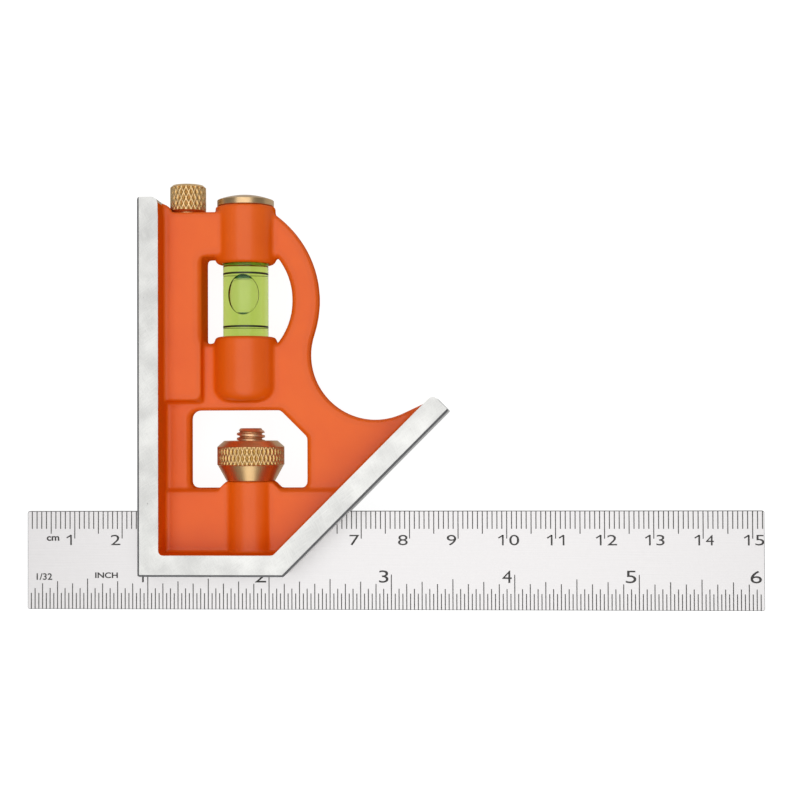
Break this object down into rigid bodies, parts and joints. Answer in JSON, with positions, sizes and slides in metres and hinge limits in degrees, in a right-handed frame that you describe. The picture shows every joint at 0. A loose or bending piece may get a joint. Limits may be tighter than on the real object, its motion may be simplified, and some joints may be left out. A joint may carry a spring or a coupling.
{
  "type": "combination square",
  "caption": "Combination square: cast head with square and mitre faces, spirit vial, scriber and knurled clamp nut, sliding on a graduated steel rule.",
  "frame": {"origin": "outer corner of the head, where the square face meets the bottom edge, on the plane of the milled rims that lies on the bench", "axes": "+X along the rule towards its high numbers, +Y up the square face, +Z through the thickness of the head, away from the bench"},
  "size_m": [0.1524, 0.0884, 0.019],
  "materials": {
    "enamelled_casting": "satin",
    "satin_steel": "satin",
    "turned_brass": "satin",
    "spring_wire": "satin",
    "ground_steel": "gloss",
    "clear_acrylic": "gloss",
    "vial_spirit": "gloss",
    "black_mark": "matte"
  },
  "bodies": {
    "head": {"head": "enamelled_casting", "clamp_spring": "spring_wire", "scriber_bush": "turned_brass", "vial_tube": "clear_acrylic", "vial_liquid": "vial_spirit", "vial_plug": "clear_acrylic", "vial_ring_upper": "black_mark", "vial_ring_lower": "black_mark", "vial_cap": "turned_brass"},
    "blade": {"rule": "satin_steel"},
    "clamp_bolt": {"clamp_bolt": "turned_brass"},
    "clamp_nut": {"clamp_nut": "turned_brass"},
    "scriber": {"scriber_knob": "turned_brass", "scriber_needle": "ground_steel"}
  },
  "joints": [
    {"name": "rule_slide", "type": "slide", "parent": "head", "child": "blade", "axis": [1, 0, 0], "range_m": [-0.1, 0.042]},
    {"name": "nut_turn", "type": "hinge", "parent": "head", "child": "clamp_nut", "pos_m": [0.0218, 0.0191, 0.0095], "axis": [0, 1, 0], "range_deg": [0, 360]},
    {"name": "bolt_drop", "type": "slide", "parent": "head", "child": "clamp_bolt", "axis": [0, -1, 0], "range_m": [0, 0.001], "deforming": ["clamp_spring"]},
    {"name": "scriber_pull", "type": "slide", "parent": "head", "child": "scriber", "axis": [0, 1, 0], "range_m": [0, 0.045]}
  ],
  "couplings": [
    {"joint": "nut_turn", "follows": "bolt_drop", "rad_per_m": 6283.2}
  ]
}
